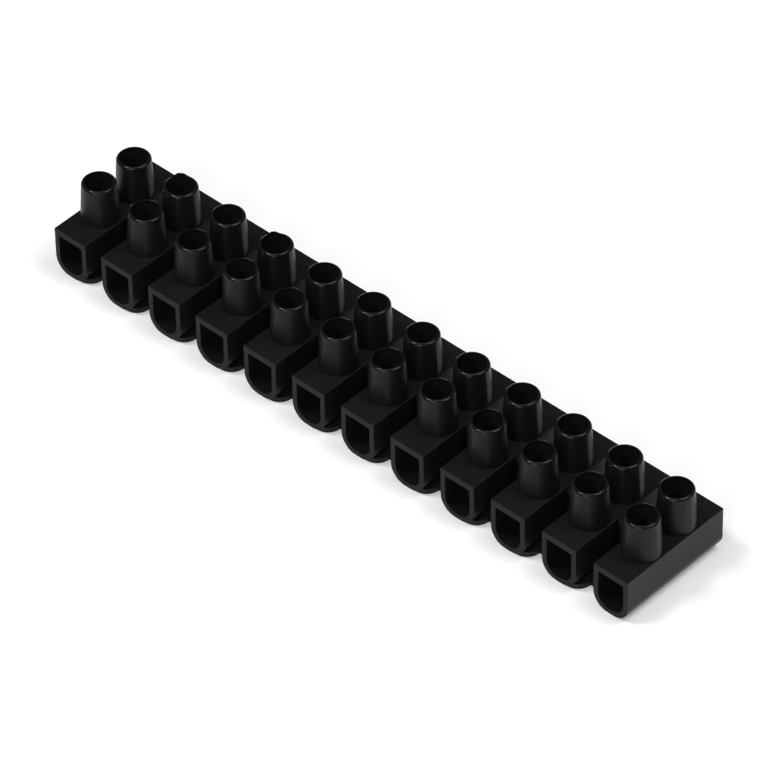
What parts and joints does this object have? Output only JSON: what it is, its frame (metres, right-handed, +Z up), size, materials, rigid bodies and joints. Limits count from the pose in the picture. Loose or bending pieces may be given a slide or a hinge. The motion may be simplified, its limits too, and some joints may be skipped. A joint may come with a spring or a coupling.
{
  "type": "terminal strip",
  "caption": "Black moulded strip of D-mouthed wire poles with paired screw towers; brass tubes and slotted screws inside clamp the wires.",
  "frame": {"origin": "middle of the underside, on the surface that the strip lies on", "axes": "+X along the row of poles, +Y along the wires to the rear mouths, +Z up the screw towers"},
  "size_m": [0.1398, 0.0254, 0.0182],
  "materials": {
    "black_moulding": "moulded black polyamide, satin",
    "brass": "extruded and cut, plain",
    "zinc_steel": "zinc-plated steel"
  },
  "bodies": {
    "strip": {"housing": "black_moulding", "terminal_01": "brass", "terminal_02": "brass", "terminal_03": "brass", "terminal_04": "brass", "terminal_05": "brass", "terminal_06": "brass", "terminal_07": "brass", "terminal_08": "brass", "terminal_09": "brass", "terminal_10": "brass", "terminal_11": "brass", "terminal_12": "brass"},
    "screw_01_front_body": {"screw_01_front": "zinc_steel"},
    "screw_01_rear_body": {"screw_01_rear": "zinc_steel"},
    "screw_02_front_body": {"screw_02_front": "zinc_steel"},
    "screw_02_rear_body": {"screw_02_rear": "zinc_steel"},
    "screw_03_front_body": {"screw_03_front": "zinc_steel"},
    "screw_03_rear_body": {"screw_03_rear": "zinc_steel"},
    "screw_04_front_body": {"screw_04_front": "zinc_steel"},
    "screw_04_rear_body": {"screw_04_rear": "zinc_steel"},
    "screw_05_front_body": {"screw_05_front": "zinc_steel"},
    "screw_05_rear_body": {"screw_05_rear": "zinc_steel"},
    "screw_06_front_body": {"screw_06_front": "zinc_steel"},
    "screw_06_rear_body": {"screw_06_rear": "zinc_steel"},
    "screw_07_front_body": {"screw_07_front": "zinc_steel"},
    "screw_07_rear_body": {"screw_07_rear": "zinc_steel"},
    "screw_08_front_body": {"screw_08_front": "zinc_steel"},
    "screw_08_rear_body": {"screw_08_rear": "zinc_steel"},
    "screw_09_front_body": {"screw_09_front": "zinc_steel"},
    "screw_09_rear_body": {"screw_09_rear": "zinc_steel"},
    "screw_10_front_body": {"screw_10_front": "zinc_steel"},
    "screw_10_rear_body": {"screw_10_rear": "zinc_steel"},
    "screw_11_front_body": {"screw_11_front": "zinc_steel"},
    "screw_11_rear_body": {"screw_11_rear": "zinc_steel"},
    "screw_12_front_body": {"screw_12_front": "zinc_steel"},
    "screw_12_rear_body": {"screw_12_rear": "zinc_steel"}
  },
  "joints": [
    {"name": "screw_01_front_travel", "type": "slide", "parent": "strip", "child": "screw_01_front_body", "axis": [0, 0, 1], "range_m": [-0.0025, 0.001]},
    {"name": "screw_01_rear_travel", "type": "slide", "parent": "strip", "child": "screw_01_rear_body", "axis": [0, 0, 1], "range_m": [-0.0025, 0.001]},
    {"name": "screw_02_front_travel", "type": "slide", "parent": "strip", "child": "screw_02_front_body", "axis": [0, 0, 1], "range_m": [-0.0025, 0.001]},
    {"name": "screw_02_rear_travel", "type": "slide", "parent": "strip", "child": "screw_02_rear_body", "axis": [0, 0, 1], "range_m": [-0.0025, 0.001]},
    {"name": "screw_03_front_travel", "type": "slide", "parent": "strip", "child": "screw_03_front_body", "axis": [0, 0, 1], "range_m": [-0.0025, 0.001]},
    {"name": "screw_03_rear_travel", "type": "slide", "parent": "strip", "child": "screw_03_rear_body", "axis": [0, 0, 1], "range_m": [-0.0025, 0.001]},
    {"name": "screw_04_front_travel", "type": "slide", "parent": "strip", "child": "screw_04_front_body", "axis": [0, 0, 1], "range_m": [-0.0025, 0.001]},
    {"name": "screw_04_rear_travel", "type": "slide", "parent": "strip", "child": "screw_04_rear_body", "axis": [0, 0, 1], "range_m": [-0.0025, 0.001]},
    {"name": "screw_05_front_travel", "type": "slide", "parent": "strip", "child": "screw_05_front_body", "axis": [0, 0, 1], "range_m": [-0.0025, 0.001]},
    {"name": "screw_05_rear_travel", "type": "slide", "parent": "strip", "child": "screw_05_rear_body", "axis": [0, 0, 1], "range_m": [-0.0025, 0.001]},
    {"name": "screw_06_front_travel", "type": "slide", "parent": "strip", "child": "screw_06_front_body", "axis": [0, 0, 1], "range_m": [-0.0025, 0.001]},
    {"name": "screw_06_rear_travel", "type": "slide", "parent": "strip", "child": "screw_06_rear_body", "axis": [0, 0, 1], "range_m": [-0.0025, 0.001]},
    {"name": "screw_07_front_travel", "type": "slide", "parent": "strip", "child": "screw_07_front_body", "axis": [0, 0, 1], "range_m": [-0.0025, 0.001]},
    {"name": "screw_07_rear_travel", "type": "slide", "parent": "strip", "child": "screw_07_rear_body", "axis": [0, 0, 1], "range_m": [-0.0025, 0.001]},
    {"name": "screw_08_front_travel", "type": "slide", "parent": "strip", "child": "screw_08_front_body", "axis": [0, 0, 1], "range_m": [-0.0025, 0.001]},
    {"name": "screw_08_rear_travel", "type": "slide", "parent": "strip", "child": "screw_08_rear_body", "axis": [0, 0, 1], "range_m": [-0.0025, 0.001]},
    {"name": "screw_09_front_travel", "type": "slide", "parent": "strip", "child": "screw_09_front_body", "axis": [0, 0, 1], "range_m": [-0.0025, 0.001]},
    {"name": "screw_09_rear_travel", "type": "slide", "parent": "strip", "child": "screw_09_rear_body", "axis": [0, 0, 1], "range_m": [-0.0025, 0.001]},
    {"name": "screw_10_front_travel", "type": "slide", "parent": "strip", "child": "screw_10_front_body", "axis": [0, 0, 1], "range_m": [-0.0025, 0.001]},
    {"name": "screw_10_rear_travel", "type": "slide", "parent": "strip", "child": "screw_10_rear_body", "axis": [0, 0, 1], "range_m": [-0.0025, 0.001]},
    {"name": "screw_11_front_travel", "type": "slide", "parent": "strip", "child": "screw_11_front_body", "axis": [0, 0, 1], "range_m": [-0.0025, 0.001]},
    {"name": "screw_11_rear_travel", "type": "slide", "parent": "strip", "child": "screw_11_rear_body", "axis": [0, 0, 1], "range_m": [-0.0025, 0.001]},
    {"name": "screw_12_front_travel", "type": "slide", "parent": "strip", "child": "screw_12_front_body", "axis": [0, 0, 1], "range_m": [-0.0025, 0.001]},
    {"name": "screw_12_rear_travel", "type": "slide", "parent": "strip", "child": "screw_12_rear_body", "axis": [0, 0, 1], "range_m": [-0.0025, 0.001]}
  ]
}
